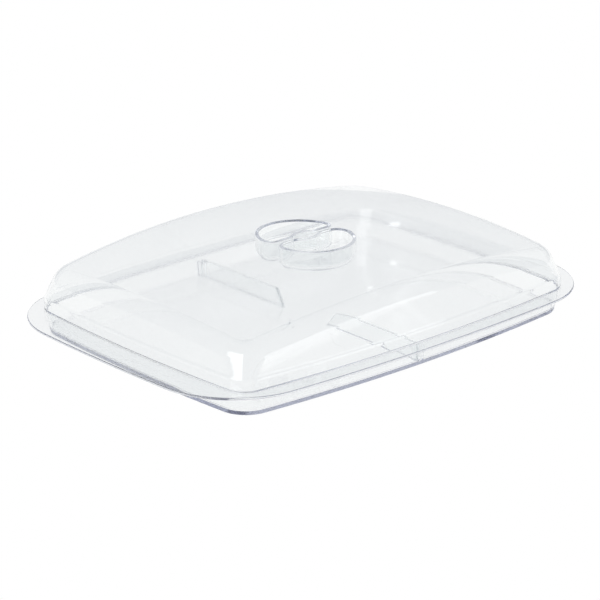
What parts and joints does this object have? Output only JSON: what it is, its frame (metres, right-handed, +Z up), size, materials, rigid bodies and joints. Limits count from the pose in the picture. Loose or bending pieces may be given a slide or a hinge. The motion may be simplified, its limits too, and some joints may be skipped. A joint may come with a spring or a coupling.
{
  "type": "covered tray with clear dome",
  "caption": "Shallow clear plastic tray with carrying rims, a lift-off domed cover with a recessed pinch grip, and lift-out divider plates.",
  "frame": {"origin": "middle of the tray's underside, on the surface it stands on", "axes": "+X along the long side of the tray, +Y along the short side, +Z up"},
  "size_m": [0.45, 0.321, 0.079],
  "materials": {
    "tray_plastic": "clear injection-moulded polycarbonate, polished",
    "cover_plastic": "clear injection-moulded polycarbonate, polished",
    "divider_plastic": "clear injection-moulded polycarbonate, polished"
  },
  "bodies": {
    "tray": {"tray": "tray_plastic"},
    "cover": {"cover": "cover_plastic"},
    "divider_rear": {"divider_rear": "divider_plastic"},
    "divider_front": {"divider_front": "divider_plastic"}
  },
  "joints": [
    {"name": "cover_lift", "type": "slide", "parent": "tray", "child": "cover", "axis": [0, 0, 1], "range_m": [0, 0.12]},
    {"name": "divider_rear_lift", "type": "slide", "parent": "tray", "child": "divider_rear", "axis": [0, 0, 1], "range_m": [0, 0.025]},
    {"name": "divider_front_lift", "type": "slide", "parent": "tray", "child": "divider_front", "axis": [0, 0, 1], "range_m": [0, 0.025]}
  ]
}
